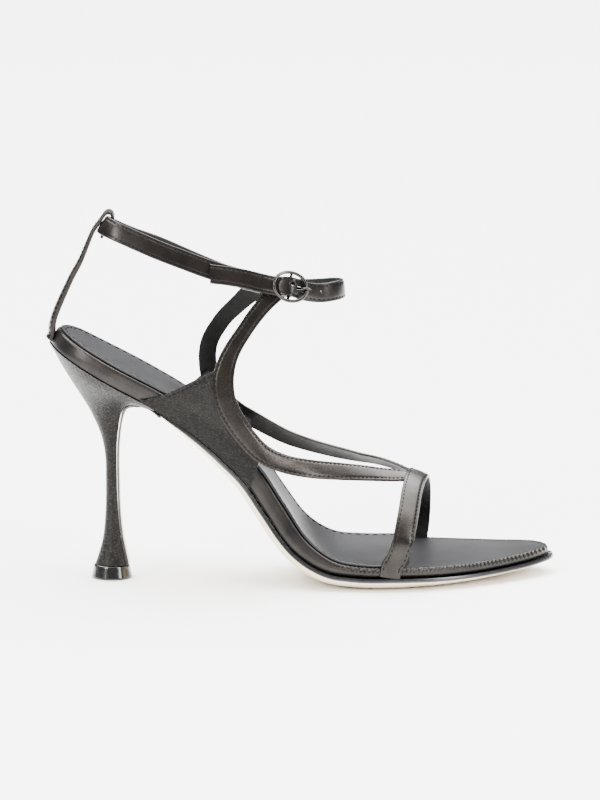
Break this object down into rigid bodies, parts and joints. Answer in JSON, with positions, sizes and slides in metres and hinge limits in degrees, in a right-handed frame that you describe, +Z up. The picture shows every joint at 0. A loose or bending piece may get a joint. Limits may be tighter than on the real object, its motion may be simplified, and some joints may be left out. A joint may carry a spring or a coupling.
{
  "type": "heeled sandal",
  "caption": "Right shoe of a strappy high-heeled sandal in pewter leather, with a buckled ankle strap, a curved slim heel and an open toe.",
  "frame": {"origin": "middle of the toplift's lower face, on the floor", "axes": "+X to the toe, +Y to the inner side of the foot (right shoe), +Z up"},
  "size_m": [0.2218, 0.077, 0.1619],
  "materials": {
    "sole_leather": "cream leather, painted black edge",
    "heel_cover": "covered in smooth pewter-grey leather",
    "toplift_rubber": "glossy black",
    "board_cover": "covered edge, pewter-grey",
    "sock_leather": "soft grey lining leather",
    "upper_leather": "metallic pewter, part embossed",
    "strap_leather": "metallic pewter",
    "buckle_metal": "polished"
  },
  "bodies": {
    "root": {"outsole": "sole_leather", "heel": "heel_cover", "toplift": "toplift_rubber", "insole_board": "board_cover", "sock": "sock_leather", "upper": "upper_leather", "back_stay": "upper_leather", "ankle_strap": "strap_leather", "buckle_frame": "buckle_metal", "buckle_prong": "buckle_metal"}
  },
  "joints": []
}
